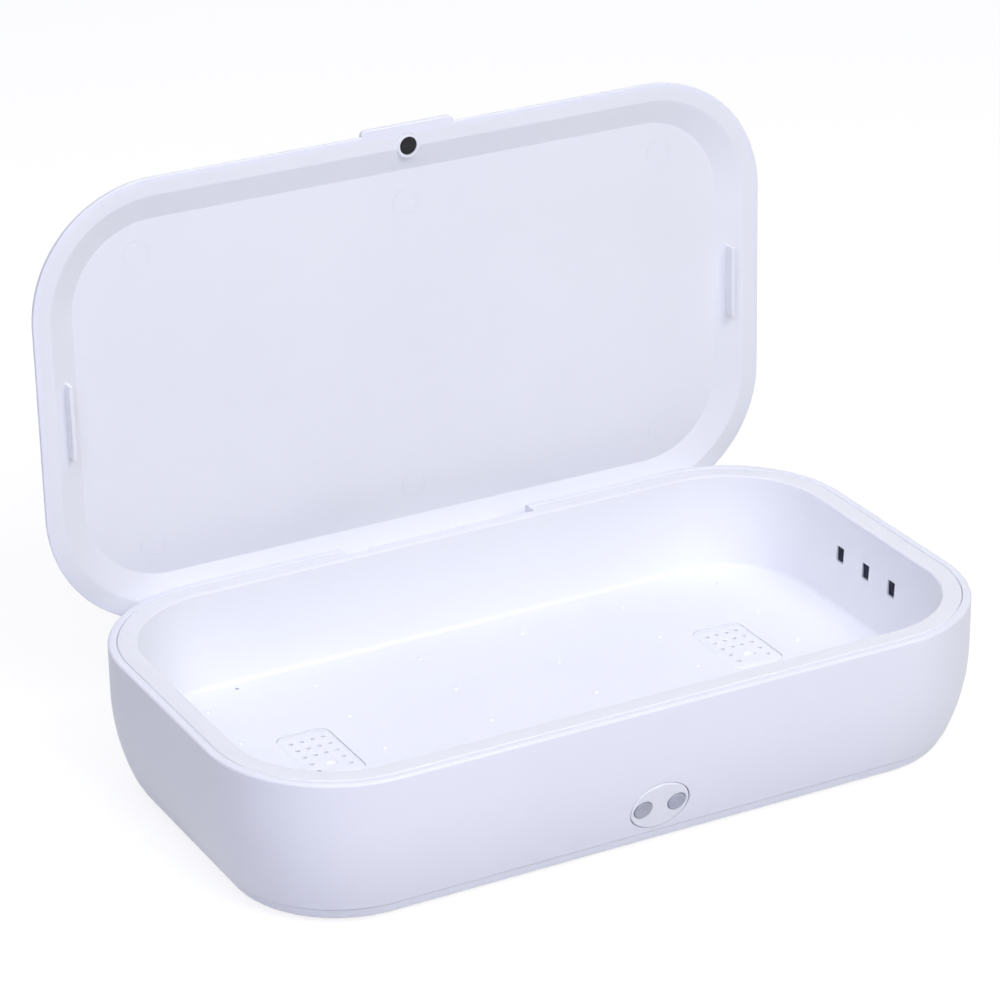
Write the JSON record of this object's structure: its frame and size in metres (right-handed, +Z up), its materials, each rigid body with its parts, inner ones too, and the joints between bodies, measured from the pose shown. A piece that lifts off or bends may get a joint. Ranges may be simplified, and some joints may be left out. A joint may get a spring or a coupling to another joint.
{
  "type": "uv sanitizer box for phones",
  "caption": "White box with rounded corners and a hinged lid, for disinfecting a phone: lamps behind small windows, lift-out scent covers, and a panel with push buttons.",
  "frame": {"origin": "on the table, centre of the footprint of the box and its open lid", "axes": "+X along the box to the right as seen from the control panel, +Y towards the hinge side, +Z up"},
  "size_m": [0.22, 0.1446, 0.1569],
  "materials": {
    "shell": "satin",
    "liner": "satin",
    "button": "matte",
    "dark_plastic": "matte",
    "switch": "satin",
    "board": "satin",
    "lamp_board": "satin",
    "lamp": "glossy",
    "quartz": "polished",
    "pad": "felt",
    "connector": "satin",
    "steel": "satin",
    "magnet": "satin",
    "wire": "matte",
    "foot": "matte"
  },
  "bodies": {
    "base": {"aroma_pad_left": "pad", "aroma_pad_right": "pad", "board_chips": "dark_plastic", "board_connectors": "connector", "board_screws": "steel", "bottom_cover": "shell", "bottom_screws": "steel", "catch_magnet": "magnet", "control_board": "board", "control_plate": "liner", "control_screws": "steel", "control_wire": "wire", "foot_back_left": "foot", "foot_back_right": "foot", "foot_front_left": "foot", "foot_front_right": "foot", "hinge_pin": "steel", "inner_tray": "liner", "lamp_screws": "steel", "lid_sensor": "board", "main_board": "board", "outer_shell": "shell", "switch_left": "switch", "switch_right": "switch", "usb_socket": "steel", "uv_board_left": "lamp_board", "uv_board_right": "lamp_board", "uv_lamps_left": "lamp", "uv_lamps_right": "lamp", "uv_windows_left": "quartz", "uv_windows_right": "quartz", "uv_wire_left": "wire", "uv_wire_right": "wire"},
    "lid": {"lid_cover": "shell", "lid_liner": "liner", "lid_magnet": "magnet"},
    "button_left": {"button_left": "button", "plunger_left": "dark_plastic"},
    "button_right": {"button_right": "button", "plunger_right": "dark_plastic"},
    "aroma_cover_left": {"aroma_cover_left": "liner"},
    "aroma_cover_right": {"aroma_cover_right": "liner"}
  },
  "joints": [
    {"name": "lid_hinge", "type": "hinge", "parent": "base", "child": "lid", "pos_m": [0, 0.05053, 0.0326], "axis": [1, 0, 0], "range_deg": [0, 91]},
    {"name": "button_left_press", "type": "slide", "parent": "base", "child": "button_left", "axis": [0, 0.9656, 0.26], "range_m": [0, 0.0006], "stiffness_N_per_m": 300},
    {"name": "button_right_press", "type": "slide", "parent": "base", "child": "button_right", "axis": [0, 0.9656, 0.26], "range_m": [0, 0.0006], "stiffness_N_per_m": 300},
    {"name": "aroma_cover_left_lift", "type": "slide", "parent": "base", "child": "aroma_cover_left", "axis": [0, 0, 1], "range_m": [0, 0.015]},
    {"name": "aroma_cover_right_lift", "type": "slide", "parent": "base", "child": "aroma_cover_right", "axis": [0, 0, 1], "range_m": [0, 0.015]}
  ]
}
